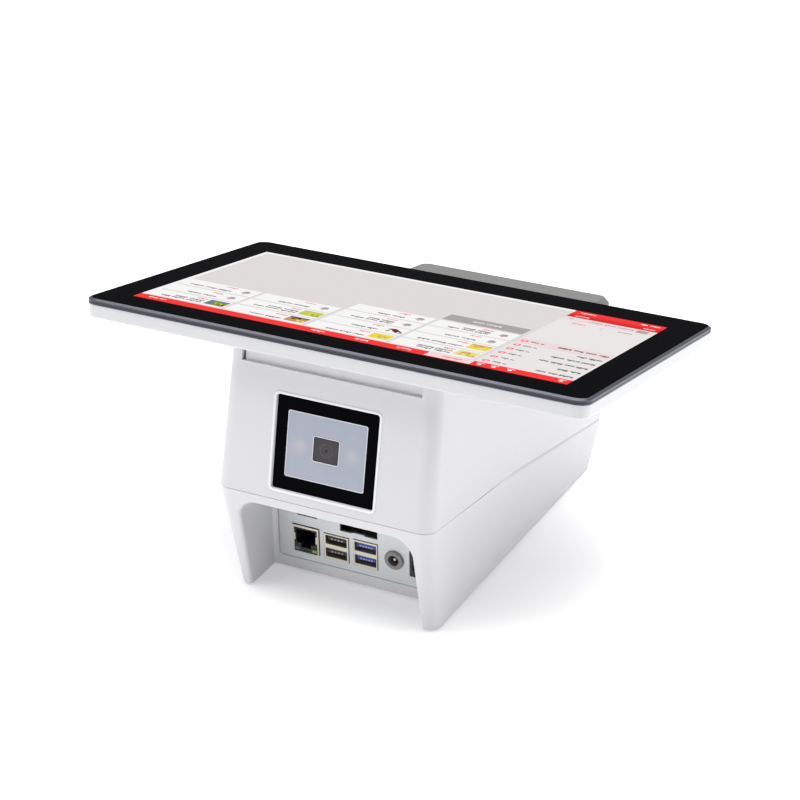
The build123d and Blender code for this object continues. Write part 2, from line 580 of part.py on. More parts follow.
with BuildPart() as io_plate:
    plate_span = (-PLATE_X + PLATE_GAP, PLATE_X - PLATE_GAP), (PLATE_Z[0] + PLATE_GAP, PLATE_Z[1] - PLATE_GAP)
    block(BAY_FACE, *plate_span, (-PLATE_T, 0), radius=2.2)
    block(BAY_FACE, (-42, 42), (BOARD_Z[0] - 1.2, BOARD_Z[0]), (-20, -PLATE_T))
    for face in (ETHERNET, USB_BLACK, USB_BLUE):
        port_block(face, (-PLATE_T - 1, 1), Mode.SUBTRACT, CUT_GAP)
    port_block(DRAWER, (-PLATE_T - 1, 1), Mode.SUBTRACT, CUT_GAP)
    port_block(CARD_SLOT, (-PLATE_T - 1, 1), Mode.SUBTRACT)
    port_block(CARD_STEP, (-PLATE_T, 0))
    port_block(SIDE_SLOT, (-PLATE_T - 1, 1), Mode.SUBTRACT)
    rods(BAY_FACE, [JACK_AT], JACK_R - 0.9, (-PLATE_T - 1, 1), Mode.SUBTRACT)
    rods(GROUND, [(x, BAY_Y + 15) for x in (-30, 30)], 1.3, (5, 20), Mode.SUBTRACT)
finish(io_plate, "io_plate")

with BuildPart() as ethernet_port:
    port_block(ETHERNET, (-21, PORT_PROUD))
    middle = sum(ETHERNET[0]) / 2
    block(BAY_FACE, (middle - 6.0, middle + 6.0), (19.0, 27.8), (-14, 1), Mode.SUBTRACT)
    block(BAY_FACE, (middle - 3.2, middle + 3.2), (16.4, 20), (-14, 1), Mode.SUBTRACT)
finish(ethernet_port, "ethernet_port")

with BuildPart() as ethernet_contacts:
    for pin in range(8):
        x = middle - 3.57 + 1.02 * pin
        block(BAY_FACE, (x - 0.2, x + 0.2), (26.9, 27.8), (-13, -2.5))
finish(ethernet_contacts, "ethernet_contacts")

for face, shell_name, tongue_name in (
    (USB_BLACK, "usb2_shell", "usb2_tongues"),
    (USB_BLUE, "usb3_shell", "usb3_tongues"),
):
    with BuildPart() as usb_shell:
        port_block(face, (-17, PORT_PROUD))
        for x, z in usb_mouths(face):
            mouth_x = (x - USB_MOUTH[0] / 2, x + USB_MOUTH[0] / 2)
            mouth_z = (z - USB_MOUTH[1] / 2, z + USB_MOUTH[1] / 2)
            block(BAY_FACE, mouth_x, mouth_z, (-14, 1), Mode.SUBTRACT, 0.5)
    finish(usb_shell, shell_name)
    with BuildPart() as usb_tongues:
        for x, z in usb_mouths(face):
            tongue_z = (z - TONGUE_DROP, z - TONGUE_DROP + USB_TONGUE[1])
            block(BAY_FACE, (x - USB_TONGUE[0] / 2, x + USB_TONGUE[0] / 2), tongue_z, (-14, -0.6), radius=0.2)
    finish(usb_tongues, tongue_name)

with BuildPart() as power_jack:
    rods(BAY_FACE, [JACK_AT], JACK_R, (0, 1.4))
    chamfer(power_jack.faces().sort_by(Axis.Y)[0].edges(), 0.5)
    rods(BAY_FACE, [JACK_AT], JACK_R - 0.95, (-2, 0))
    block(BAY_FACE, (JACK_AT[0] - 7, JACK_AT[0] + 7), (BOARD_Z[1], 30.0), (-14, -2))
    rods(BAY_FACE, [JACK_AT], JACK_HOLE_R, (-12, 2), Mode.SUBTRACT)
finish(power_jack, "power_jack")

with BuildPart() as power_jack_pin:
    rods(BAY_FACE, [JACK_AT], JACK_PIN_R, (-12, 0))
    fillet(power_jack_pin.faces().sort_by(Axis.Y)[0].edges(), 0.6)
finish(power_jack_pin, "power_jack_pin")

with BuildPart() as drawer_port:
    port_block(DRAWER, (-18, PORT_PROUD))
    block(BAY_FACE, (DRAWER[0][0], DRAWER[0][1]), (BOARD_Z[1], DRAWER[1][0]), (-18, -PLATE_T))
    block(BAY_FACE, (DRAWER[0][0] + 1.7, DRAWER[0][1] - 1.7), (19.0, 28.2), (-13, 1), Mode.SUBTRACT)
    block(BAY_FACE, (37.6, 42.0), (16.6, 20), (-13, 1), Mode.SUBTRACT)
finish(drawer_port, "drawer_port")

BOARD_HALF, BOARD_Y = 48.0, (BAY_Y + 2.6, 20.0)
CHIPS = (                                     # middle X and Y, width, depth, height
    (-36, -30, 18, 18, 1.4),
    (-36, 0, 14, 12, 1.2),
    (30, -45, 12, 16, 3.4),
    (34, -6, 16, 16, 2.2),
)
with BuildPart() as main_board:
    block(GROUND, (-BOARD_HALF, BOARD_HALF), BOARD_Y, BOARD_Z, radius=1)
    for x, y, w, d, h in CHIPS:
        block(GROUND, (x - w / 2, x + w / 2), (y - d / 2, y + d / 2), (BOARD_Z[1], BOARD_Z[1] + h))
    for y in (-58, -50, -42):
        rods(GROUND, [(-12, y)], 3, (BOARD_Z[1], BOARD_Z[1] + 8))
    rods(GROUND, STANDOFFS, 1.3, (5, 20), Mode.SUBTRACT)
    rods(GROUND, [(x, BAY_Y + 15) for x in (-30, 30)], 1.3, (5, 20), Mode.SUBTRACT)
finish(main_board, "main_board")

with BuildPart() as board_standoffs:
    rods(GROUND, STANDOFFS, 2.5, (FLOOR_TOP, BOARD_Z[0]), bore=1.3)
finish(board_standoffs, "board_standoffs")

with BuildPart() as board_screws:
    screws(GROUND, STANDOFFS, BOARD_Z[1], (2.5, 1.4), (1.3, 6.0))
finish(board_screws, "board_screws")

with BuildPart() as heat_sink:
    block(GROUND, (-2, 22), (-36, 4), (BOARD_Z[1], BOARD_Z[1] + 3))
    for fin in range(7):
        x = -2 + fin * 3.8
        block(GROUND, (x, x + 1.2), (-36, 4), (BOARD_Z[1] + 3, BOARD_Z[1] + 13))
finish(heat_sink, "heat_sink")

with BuildPart() as speaker:
    rods(GROUND, [SPEAKER_AT], SPEAKER_R, (FLOOR_Z + COVER_T, FLOOR_Z + COVER_T + 3))
    rods(GROUND, [SPEAKER_AT], SPEAKER_R - 2, (FLOOR_Z + COVER_T, FLOOR_Z + COVER_T + 1.5), Mode.SUBTRACT)
    rods(GROUND, [SPEAKER_AT], 9, (FLOOR_Z + COVER_T + 2, FLOOR_Z + COVER_T + 9))
finish(speaker, "speaker")

# ---------------------------------------------------------------- receipt printer
HINGE_LINE = (COVER_Y[0], COVER_HINGE_N)
PLATEN_AT = (PLATEN_Y, PLATEN_N)
IDLER_AT = (PLATEN_Y, PLATEN_N - MODULE * (PLATEN_TEETH + IDLER_TEETH) / 2 - MESH_PLAY)
PINION_AT = (PLATEN_Y, IDLER_AT[1] - MODULE * (IDLER_TEETH + PINION_TEETH) / 2 - MESH_PLAY)
ROLL_AT = (ROLL_Y, ROLL_N)
TUB_R = 26.5
TUB_WALL = 2.2
EAR_R = 3.2
SLOT_HALF = 0.3
HEAD_N = (-29.0, PLATEN_N - PLATEN_R - 0.3)
HEAD_Y = (139.0, 149.0)
BAR_N = (-34.0, HEAD_N[0])

with BuildPart() as printer_frame:
    for side in SIDES:
        wall = sorted((side * FRAME_X[0], side * FRAME_X[1]))
        block(SIDE, (ROLL_Y - TUB_R, ROLL_Y + TUB_R), (ROLL_N, STEP_FLOOR - 1.0), wall)
        rods(SIDE, [ROLL_AT], TUB_R, wall)
        block(SIDE, (HINGE_LINE[0] - EAR_R, HINGE_LINE[0] + EAR_R), (STEP_FLOOR - 2, HINGE_LINE[1]), wall)
        rods(SIDE, [HINGE_LINE], EAR_R, wall)
        flange = sorted((side * FRAME_X[0], side * 57.5))
        block(DECK, flange, FRAME_FLANGE_Y, (STEP_FLOOR - 2, STEP_FLOOR))
    with BuildPart(mode=Mode.PRIVATE) as tub:
        rods(SIDE, [ROLL_AT], TUB_R, (-FRAME_X[0], FRAME_X[0]), bore=TUB_R - TUB_WALL)
        block(SIDE, (0, 200), (ROLL_N, 0), (-60, 60), Mode.SUBTRACT)
    add(tub.part)
    for low in (ROLL_Y - TUB_R, ROLL_Y + TUB_R - TUB_WALL):
        block(SIDE, (low, low + TUB_WALL), (ROLL_N, -36), (-FRAME_X[0], FRAME_X[0]))
    block(SIDE, (143.0, ROLL_Y + TUB_R), BAR_N, (-FRAME_X[0], FRAME_X[0]))
    block(SIDE, (PLATEN_Y - 4, PLATEN_Y + 4.5), (PLATEN_N - 4, 0), (-60, 60), Mode.SUBTRACT)
    rods(SIDE, [HINGE_LINE], ROD_R, (-60, 60), Mode.SUBTRACT)
    rods(SIDE, [ROLL_AT], SPINDLE_R, (-60, 60), Mode.SUBTRACT)
    rods(SIDE, [IDLER_AT], 1.5, (FRAME_X[0], GEAR_X[1] + 0.3))
    rods(SIDE, [IDLER_AT], 3.0, (FRAME_X[0], GEAR_X[0] - 0.3))
    rods(DECK, FRAME_SCREWS, 1.5, (STEP_FLOOR - 3, STEP_FLOOR + 1), Mode.SUBTRACT)
finish(printer_frame, "printer_frame")

with BuildPart() as cover_hinge_rod:
    rods(SIDE, [HINGE_LINE], ROD_R, (-47, 47))
finish(cover_hinge_rod, "cover_hinge_rod")

with BuildPart() as printer_cover:
    block(DECK, (-COVER_X, COVER_X), (60, COVER_Y[1]), (COVER_LOW, COVER_TOP), radius=COVER_R)
    chamfer(printer_cover.faces().sort_by(N_AXIS)[-1].edges(), COVER_BEVEL)
    block(DECK, (-COVER_X + COVER_WALL, COVER_X - COVER_WALL), (40, COVER_Y[1] - COVER_WALL),
          (COVER_LOW - 1, COVER_TOP - COVER_WALL), Mode.SUBTRACT, COVER_R - COVER_WALL)
    block(DECK, (-80, 80), (40, COVER_Y[0]), (-40, 0), Mode.SUBTRACT)
    rods(SIDE, [HINGE_LINE], RIM_R, (-COVER_X, COVER_X))
    rods(SIDE, [HINGE_LINE], ROD_R + RUN_GAP, (-47.3, 47.3), Mode.SUBTRACT)
    for side in SIDES:
        slot = sorted((side * (FRAME_X[0] - SLOT_HALF), side * (FRAME_X[1] + SLOT_HALF)))
        rods(SIDE, [HINGE_LINE], RIM_R + 0.4, slot, Mode.SUBTRACT)
        arm = sorted((side * 40.2, side * 42.2))
        arm_top, arm_low = COVER_TOP - 1.5, PLATEN_N - 3.8
        profile(SIDE, [(132.5, arm_top), (152, arm_top), (147, arm_low), (138, arm_low)], arm)
    for x in (-24, -8, 8, 24):
        block(DECK, (x - 0.8, x + 0.8), (112, 136), (COVER_TOP - 5, COVER_TOP - 1.5))
    rods(SIDE, [PLATEN_AT], BUSH_R, (-43, 43), Mode.SUBTRACT)
finish(printer_cover, "printer_cover")

with BuildPart() as platen_bushes:
    for side in SIDES:
        rods(SIDE, [PLATEN_AT], BUSH_R, sorted((side * 40.2, side * 42.2)), bore=SHAFT_R + RUN_GAP)
finish(platen_bushes, "platen_bushes")

with BuildPart() as platen_shaft:
    rods(SIDE, [PLATEN_AT], SHAFT_R, (-45.5, GEAR_X[1] + 0.5))
finish(platen_shaft, "platen_shaft")

with BuildPart() as platen_roller:
    rods(SIDE, [PLATEN_AT], PLATEN_R, (-PLATEN_X, PLATEN_X), bore=SHAFT_R)
finish(platen_roller, "platen_roller")

with BuildPart() as platen_gear:
    gear(SIDE, PLATEN_AT, PLATEN_TEETH, GEAR_X, SHAFT_R, 270 + 180 / PLATEN_TEETH)
finish(platen_gear, "platen_gear")

with BuildPart() as idler_gear:
    gear(SIDE, IDLER_AT, IDLER_TEETH, GEAR_X, 1.5 + RUN_GAP, 90)
finish(idler_gear, "idler_gear")

with BuildPart() as motor_pinion:
    gear(SIDE, PINION_AT, PINION_TEETH, GEAR_X, 0, 90)
    rods(SIDE, [PINION_AT], 1.2, (GEAR_X[1], 58))
finish(motor_pinion, "motor_pinion")

BRACKET_X = (49.2, 50.2)
with BuildPart() as motor_bracket:
    block(SIDE, (118, 152.5), (-66.5, -41.5), BRACKET_X, radius=2)
    rods(SIDE, [(121.5, -44.5), (120.5, -64), (149.5, -62.5)], 2.4, (FRAME_X[1], BRACKET_X[0]))
    rods(SIDE, [PINION_AT], 3.5, (BRACKET_X[0] - 1, BRACKET_X[1] + 1), Mode.SUBTRACT)
finish(motor_bracket, "motor_bracket")

with BuildPart() as feed_motor:
    rods(SIDE, [PINION_AT], MOTOR_R, (BRACKET_X[1], BRACKET_X[1] + MOTOR_L))
    chamfer(feed_motor.faces().sort_by(Axis.X)[-1].edges(), 0.6)
    rods(SIDE, [PINION_AT], 1.2 + RUN_GAP, (BRACKET_X[0], 58.3), Mode.SUBTRACT)
finish(feed_motor, "feed_motor")

with BuildPart() as print_head:
    block(DECK, (-40, 40), HEAD_Y, HEAD_N)
finish(print_head, "print_head")

with BuildPart() as paper_roll:
    rods(SIDE, [ROLL_AT], ROLL_R, (-ROLL_X, ROLL_X), bore=CORE_R)
finish(paper_roll, "paper_roll")

with BuildPart() as paper_core:
    rods(SIDE, [ROLL_AT], CORE_R, (-ROLL_X, ROLL_X), bore=SPINDLE_R + RUN_GAP)
finish(paper_core, "paper_core")

with BuildPart() as paper_spindle:
    rods(SIDE, [ROLL_AT], SPINDLE_R, (-FRAME_X[1], FRAME_X[1]))
    rods(SIDE, [ROLL_AT], SPINDLE_R - 2, (-60, 60), Mode.SUBTRACT)
finish(paper_spindle, "paper_spindle")

TOOTH_PITCH = 1.5
BLADE_T = 0.8
with BuildPart() as tear_bar:
    tip, root = wall_far(EXIT_N[0]) + 0.8, wall_far(EXIT_N[0])
    teeth = round(2 * (EXIT_X - 0.5) / TOOTH_PITCH)
    start_x, back_y = -EXIT_X + 0.5, WELL_Y[1] + 0.2
    zigzag = [(start_x + TOOTH_PITCH * k / 2, tip if k % 2 else root) for k in range(2 * teeth + 1)]
    profile(DECK, [(start_x, back_y), *zigzag, (zigzag[-1][0], back_y)], (EXIT_N[0], EXIT_N[0] + BLADE_T))
finish(tear_bar, "tear_bar")

# ---------------------------------------------------------------- buttons
BUTTON_PROUD = 1.0
RELEASE_RIM = 1.5                             # the button's rim behind the wall
with BuildPart() as release_button:
    face_x = wall_x(RELEASE_AT[1]) + BUTTON_PROUD
    block(SIDE, *release_span(0), (-face_x, -58.0), radius=2)
    fillet(release_button.faces().sort_by(Axis.X)[0].edges(), 0.6)
    block(SIDE, *release_span(RELEASE_RIM), (-59.9, -58.0), radius=2)
finish(release_button, "release_button")

with BuildPart() as power_button:
    face_x = wall_x(POWER_AT[1]) + BUTTON_PROUD - 0.4
    rods(SIDE, [POWER_AT], POWER_R, (-face_x, -58.5))
    fillet(power_button.faces().sort_by(Axis.X)[0].edges(), 0.6)
    rods(SIDE, [POWER_AT], POWER_R + 1.5, (-60.3, -58.5))
finish(power_button, "power_button")

with BuildPart() as feed_button:
    face_y = wall_far(FEED_AT[1]) + BUTTON_PROUD - 0.4
    rods(END, [FEED_AT], FEED_R, (-face_y, -152.5))
    fillet(feed_button.faces().sort_by(DECK_Y_AXIS)[-1].edges(), 0.6)
    rods(END, [FEED_AT], FEED_R + 1.5, (-154.4, -152.5))
finish(feed_button, "feed_button")

with BuildPart() as status_light:
    rods(END, [LIGHT_AT], LIGHT_R, (-wall_far(LIGHT_AT[1]) - 0.2, -152.8))
    rods(END, [LIGHT_AT], LIGHT_R + 1, (-154.3, -152.8))
finish(status_light, "status_light")
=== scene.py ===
"""Looks of a desktop self checkout terminal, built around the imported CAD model.

Lengths are in metres unless a name says otherwise. The touch screen's picture is laid out in millimetres, as the
operator sees it: u runs from the picture's left edge and v down from its top edge.
"""
import json
import math
import random

import bmesh
import bpy
from mathutils import Euler, Matrix, Vector
from mathutils.geometry import delaunay_2d_cdt


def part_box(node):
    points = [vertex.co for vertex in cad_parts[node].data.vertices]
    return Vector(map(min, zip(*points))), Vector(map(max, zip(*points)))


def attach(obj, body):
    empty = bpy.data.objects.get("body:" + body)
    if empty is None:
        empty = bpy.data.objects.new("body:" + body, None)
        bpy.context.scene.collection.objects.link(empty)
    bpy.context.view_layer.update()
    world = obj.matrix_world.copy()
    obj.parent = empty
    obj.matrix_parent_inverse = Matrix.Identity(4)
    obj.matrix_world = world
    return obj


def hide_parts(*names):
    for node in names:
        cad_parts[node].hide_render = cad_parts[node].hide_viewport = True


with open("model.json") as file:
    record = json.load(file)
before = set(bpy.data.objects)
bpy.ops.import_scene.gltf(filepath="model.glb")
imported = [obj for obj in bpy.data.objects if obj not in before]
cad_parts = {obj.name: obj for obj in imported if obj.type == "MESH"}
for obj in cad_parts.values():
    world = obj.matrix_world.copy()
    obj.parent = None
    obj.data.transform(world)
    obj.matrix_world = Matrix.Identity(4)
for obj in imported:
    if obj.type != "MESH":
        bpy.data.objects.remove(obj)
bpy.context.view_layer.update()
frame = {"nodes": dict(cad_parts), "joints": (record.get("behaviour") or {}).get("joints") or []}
nodes = frame["nodes"]
MM = 0.001

# ---------------------------------------------------------------- deck frame: across, along the screen, square to it
PRESS = next(joint for joint in frame["joints"] if joint["name"] == "feed_press")
DECK_X = Vector((1, 0, 0))
DECK_Y = -Vector(PRESS["axis"]).normalized()
DECK_N = DECK_X.cross(DECK_Y)


def span(node, direction):
    """Lowest and highest reach of a CAD node along a direction."""
    reach = [vertex.co.dot(direction) for vertex in nodes[node].data.vertices]
    return min(reach), max(reach)


def placed(x_axis, y_axis, origin):
    """A matrix that takes (x, y, depth) in a plane to the shared frame."""
    z_axis = x_axis.cross(y_axis)
    turn = Matrix((x_axis, y_axis, z_axis)).transposed().to_4x4()
    return Matrix.Translation(origin) @ turn


# ---------------------------------------------------------------- material building
def linear(level):
    """An sRGB level of 0 to 255 as linear light."""
    share = level / 255
    return share / 12.92 if share <= 0.04045 else ((share + 0.055) / 1.055) ** 2.4


def rgb(red, green, blue):
    """A colour from three sRGB levels of 0 to 255."""
    return linear(red), linear(green), linear(blue), 1.0


def shade(colour, factor):
    """The same colour, darker or lighter."""
    return tuple(min(1.0, channel * factor) for channel in colour[:3]) + (1.0,)


def started(name):
    """A new material with its node tree and principled shader."""
    made = bpy.data.materials.new(name)
    made.use_nodes = True
    return made, made.node_tree, made.node_tree.nodes["Principled BSDF"]


def object_place(tree, shift=(0, 0, 0), stretch=(1, 1, 1)):
    """The shaded point in the object's own coordinates, so a texture rides with its part."""
    place = tree.nodes.new("ShaderNodeTexCoord")
    mapping = tree.nodes.new("ShaderNodeMapping")
    mapping.inputs["Location"].default_value = shift
    mapping.inputs["Scale"].default_value = stretch
    tree.links.new(place.outputs["Object"], mapping.inputs["Vector"])
    return mapping.outputs["Vector"]


def noise(tree, scale, stretch=(1, 1, 1), detail=2.0):
    """A noise texture, drawn out along an axis by a small stretch value."""
    texture = tree.nodes.new("ShaderNodeTexNoise")
    texture.inputs["Scale"].default_value = scale
    texture.inputs["Detail"].default_value = detail
    tree.links.new(object_place(tree, stretch=stretch), texture.inputs["Vector"])
    return texture.outputs["Fac"]


def between(tree, factor, low, high, reach=(0.0, 1.0)):
    """Maps a factor to a range of values."""
    node = tree.nodes.new("ShaderNodeMapRange")
    node.inputs["From Min"].default_value = reach[0]
    node.inputs["From Max"].default_value = reach[1]
    node.inputs["To Min"].default_value = low
    node.inputs["To Max"].default_value = high
    tree.links.new(factor, node.inputs["Value"])
    return node.outputs["Result"]


def blended(tree, factor, first, second):
    """A colour between two, where each is a colour or another node's output."""
    node = tree.nodes.new("ShaderNodeMix")
    node.data_type = "RGBA"
    tree.links.new(factor, node.inputs["Factor"])
    for socket, colour in ((node.inputs[6], first), (node.inputs[7], second)):
        if isinstance(colour, tuple):
            socket.default_value = colour
        else:
            tree.links.new(colour, socket)
    return node.outputs[2]


def bumped(tree, shader, height, strength, depth):
    """Raises the shader's surface by a height, which is depth metres at its most."""
    node = tree.nodes.new("ShaderNodeBump")
    node.inputs["Strength"].default_value = strength
    node.inputs["Distance"].default_value = depth
    tree.links.new(height, node.inputs["Height"])
    tree.links.new(node.outputs["Normal"], shader.inputs["Normal"])


def surface(name, colour, roughness, metallic=0.0, grain=2200.0, bump=0.15, depth=4e-5, tone=0.03, ripple=0.05,
            stretch=(1, 1, 1), coat=0.0, specular=0.5):
    """A moulded, painted or metal surface: fine grain in its bump and roughness, and a slow drift in its tone."""
    made, tree, shader = started(name)
    fine = noise(tree, grain, stretch)
    slow = noise(tree, 22.0, stretch, 3.0)
    tones = blended(tree, slow, shade(colour, 1 - tone), shade(colour, 1 + tone))
    tree.links.new(tones, shader.inputs["Base Color"])
    tree.links.new(between(tree, fine, roughness - ripple, roughness + ripple), shader.inputs["Roughness"])
    bumped(tree, shader, fine, bump, depth)
    shader.inputs["Metallic"].default_value = metallic
    shader.inputs["Coat Weight"].default_value = coat
    shader.inputs["Coat Roughness"].default_value = 0.06
    shader.inputs["Specular IOR Level"].default_value = specular
    return made


def distance_from(tree, point):
    """Distance of the shaded point from a fixed point."""
    length = tree.nodes.new("ShaderNodeVectorMath")
    length.operation = "LENGTH"
    tree.links.new(object_place(tree, -point), length.inputs[0])
    return length.outputs["Value"]


def centre_of(node):
    """Middle of a CAD node's box."""
    low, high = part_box(node)
    return (low + high) / 2


def ramp(tree, factor, stops):
    """A colour ramp with a list of (place, colour)."""
    node = tree.nodes.new("ShaderNodeValToRGB")
    while len(node.color_ramp.elements) < len(stops):
        node.color_ramp.elements.new(1.0)
    for element, (place, colour) in zip(node.color_ramp.elements, stops):
        element.position = place
        element.color = colour
    tree.links.new(factor, node.inputs["Fac"])
    return node.outputs["Color"]


LAMP_COLUMNS = (-0.66, 0.66)                   # shares of the window's half width
LAMP_ROWS = (-0.62, 0.0, 0.62)                 # shares of its half height
LAMP_GLOW, LAMP_REACH = 0.45, 0.0055           # share of the warm colour at a lamp, and metres until it is gone
LENS_REACH = 0.008                             # metres from the lens's middle to the last of its rings


def diffuser_surface():
    """Frosted window of the barcode scanner with the faint glow of six lamps behind it."""
    made, tree, shader = started("frosted_diffuser")
    low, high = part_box("scanner_diffuser")
    middle = centre_of("scanner_diffuser")
    cool, cool_light, warm = rgb(150, 157, 173), rgb(164, 169, 181), rgb(196, 188, 182)
    colour = blended(tree, noise(tree, 60.0), cool, cool_light)
    for across in LAMP_COLUMNS:
        for up in LAMP_ROWS:
            lamp_z = middle.z + up * (high.z - low.z) / 2
            share = (lamp_z - low.z) / (high.z - low.z)
            lamp = Vector((middle.x + across * high.x, high.y + (low.y - high.y) * share, lamp_z))
            glow = between(tree, distance_from(tree, lamp), LAMP_GLOW, 0.0, (0.0, LAMP_REACH))
            colour = blended(tree, glow, colour, warm)
    tree.links.new(colour, shader.inputs["Base Color"])
    fine = noise(tree, 5200.0)
    tree.links.new(between(tree, fine, 0.42, 0.56), shader.inputs["Roughness"])
    bumped(tree, shader, fine, 0.25, 2e-5)
    return made


def lens_surface():
    """Smoked window over the camera, with the rings of the lens showing through."""
    made, tree, shader = started("smoked_lens")
    rings = distance_from(tree, centre_of("scanner_lens"))
    reach = between(tree, rings, 0.0, 1.0, (0.0, LENS_REACH))
    dark, glass = rgb(48, 45, 49), rgb(66, 61, 65)
    stops = [(0.0, rgb(34, 31, 35)), (0.16, dark), (0.2, rgb(84, 79, 83)), (0.24, glass), (0.4, glass),
             (0.44, rgb(86, 80, 83)), (0.48, rgb(62, 58, 62)), (1.0, rgb(58, 54, 60))]
    tree.links.new(ramp(tree, reach, stops), shader.inputs["Base Color"])
    tree.links.new(between(tree, noise(tree, 900.0), 0.12, 0.2), shader.inputs["Roughness"])
    shader.inputs["Specular IOR Level"].default_value = 0.25
    return made


def paper_surface():
    """Thermal paper: matt, faintly fibrous, with the windings showing on the roll's ends."""
    made, tree, shader = started("thermal_paper")
    wave = tree.nodes.new("ShaderNodeTexWave")
    wave.wave_type = "RINGS"
    wave.rings_direction = "X"
    wave.inputs["Scale"].default_value = 900.0
    wave.inputs["Distortion"].default_value = 0.6
    tree.links.new(object_place(tree, -centre_of("paper_roll")), wave.inputs["Vector"])
    tones = blended(tree, wave.outputs["Fac"], rgb(236, 235, 230), rgb(246, 245, 241))
    tree.links.new(tones, shader.inputs["Base Color"])
    fibres = noise(tree, 1500.0, (0.2, 1, 1), 4.0)
    tree.links.new(between(tree, fibres, 0.7, 0.85), shader.inputs["Roughness"])
    bumped(tree, shader, fibres, 0.2, 3e-5)
    return made


def board_surface():
    """Green solder mask with tracks and pads in a lighter tone."""
    made, tree, shader = started("circuit_board")
    tracks = tree.nodes.new("ShaderNodeTexBrick")
    tracks.inputs["Scale"].default_value = 260.0
    tracks.inputs["Mortar Size"].default_value = 0.09
    tracks.inputs["Mortar Smooth"].default_value = 0.1
    tracks.inputs["Color1"].default_value = rgb(14, 84, 48)
    tracks.inputs["Color2"].default_value = rgb(18, 92, 52)
    tracks.inputs["Mortar"].default_value = rgb(48, 132, 78)
    tree.links.new(object_place(tree), tracks.inputs["Vector"])
    pads = tree.nodes.new("ShaderNodeTexVoronoi")
    pads.inputs["Scale"].default_value = 420.0
    tree.links.new(object_place(tree), pads.inputs["Vector"])
    near_pad = between(tree, pads.outputs["Distance"], 1.0, 0.0, (0.1, 0.14))
    colour = blended(tree, near_pad, tracks.outputs["Color"], rgb(196, 186, 150))
    tree.links.new(colour, shader.inputs["Base Color"])
    tree.links.new(between(tree, noise(tree, 700.0), 0.3, 0.42), shader.inputs["Roughness"])
    bumped(tree, shader, tracks.outputs["Fac"], 0.3, 4e-5)
    return made


# ---------------------------------------------------------------- materials of the CAD nodes
WHITE = rgb(207, 207, 210)
shell_white = surface("shell_white", WHITE, 0.46, grain=2600.0, bump=0.12, tone=0.012)
housing_white = surface("housing_white", WHITE, 0.42, grain=2600.0, bump=0.1, tone=0.012)
bezel_grey = surface("bezel_grey", rgb(62, 64, 74), 0.36, 0.2, grain=3400.0, bump=0.1, coat=0.1)
cover_grey = surface("cover_grey", rgb(106, 105, 104), 0.5, grain=2400.0, bump=0.2)
button_grey = surface("button_grey", rgb(132, 132, 134), 0.45, grain=2400.0, bump=0.15)
black_gloss = surface("black_gloss", rgb(8, 8, 10), 0.16, grain=300.0, bump=0.01, specular=0.006)
engine_black = surface("engine_black", rgb(46, 46, 48), 0.6, grain=1500.0, bump=0.3)
rubber = surface("rubber", rgb(44, 44, 46), 0.8, grain=1800.0, bump=0.5, tone=0.1)
bright_steel = surface("bright_steel", rgb(196, 197, 200), 0.3, 1.0, grain=500.0, bump=0.08, stretch=(1, 8, 8))
sheet_steel = surface("sheet_steel", rgb(190, 192, 196), 0.4, 1.0, grain=420.0, bump=0.1, stretch=(0.06, 1, 1))
screw_steel = surface("screw_steel", rgb(168, 168, 172), 0.33, 1.0, grain=900.0, bump=0.15)
nickel = surface("nickel", rgb(206, 200, 184), 0.34, 0.85, grain=700.0, bump=0.08)
plate_metal = surface("plate_metal", rgb(203, 206, 208), 0.46, 0.45, grain=380.0, bump=0.12, stretch=(0.08, 1, 1))
gold = surface("contact_gold", rgb(222, 190, 120), 0.28, 1.0, grain=900.0, bump=0.05)
brass = surface("brass", rgb(200, 172, 106), 0.36, 1.0, grain=800.0, bump=0.1)
aluminium = surface("aluminium", rgb(200, 202, 206), 0.42, 0.9, grain=400.0, bump=0.12, stretch=(1, 0.1, 1))
port_black = surface("port_black", rgb(24, 26, 32), 0.5, grain=1600.0, bump=0.2)
usb_black = surface("usb_black", rgb(30, 30, 32), 0.45, grain=1600.0, bump=0.15)
usb_blue = surface("usb_blue", rgb(50, 66, 150), 0.42, grain=1600.0, bump=0.15)
jack_ring = surface("jack_ring", rgb(126, 125, 122), 0.42, 0.2, grain=1400.0, bump=0.15)
acetal = surface("acetal", rgb(232, 230, 222), 0.4, grain=1200.0, bump=0.1)
platen_rubber = surface("platen_rubber", rgb(58, 58, 60), 0.7, grain=1500.0, bump=0.35, tone=0.08)
core_card = surface("core_card", rgb(170, 140, 104), 0.8, grain=900.0, bump=0.5, tone=0.08, stretch=(0.2, 1, 1))
panel_back = surface("panel_back", rgb(150, 152, 156), 0.38, 0.8, grain=500.0, bump=0.1)
light_green = surface("light_green", rgb(104, 214, 122), 0.3, grain=600.0, bump=0.05, coat=0.4)

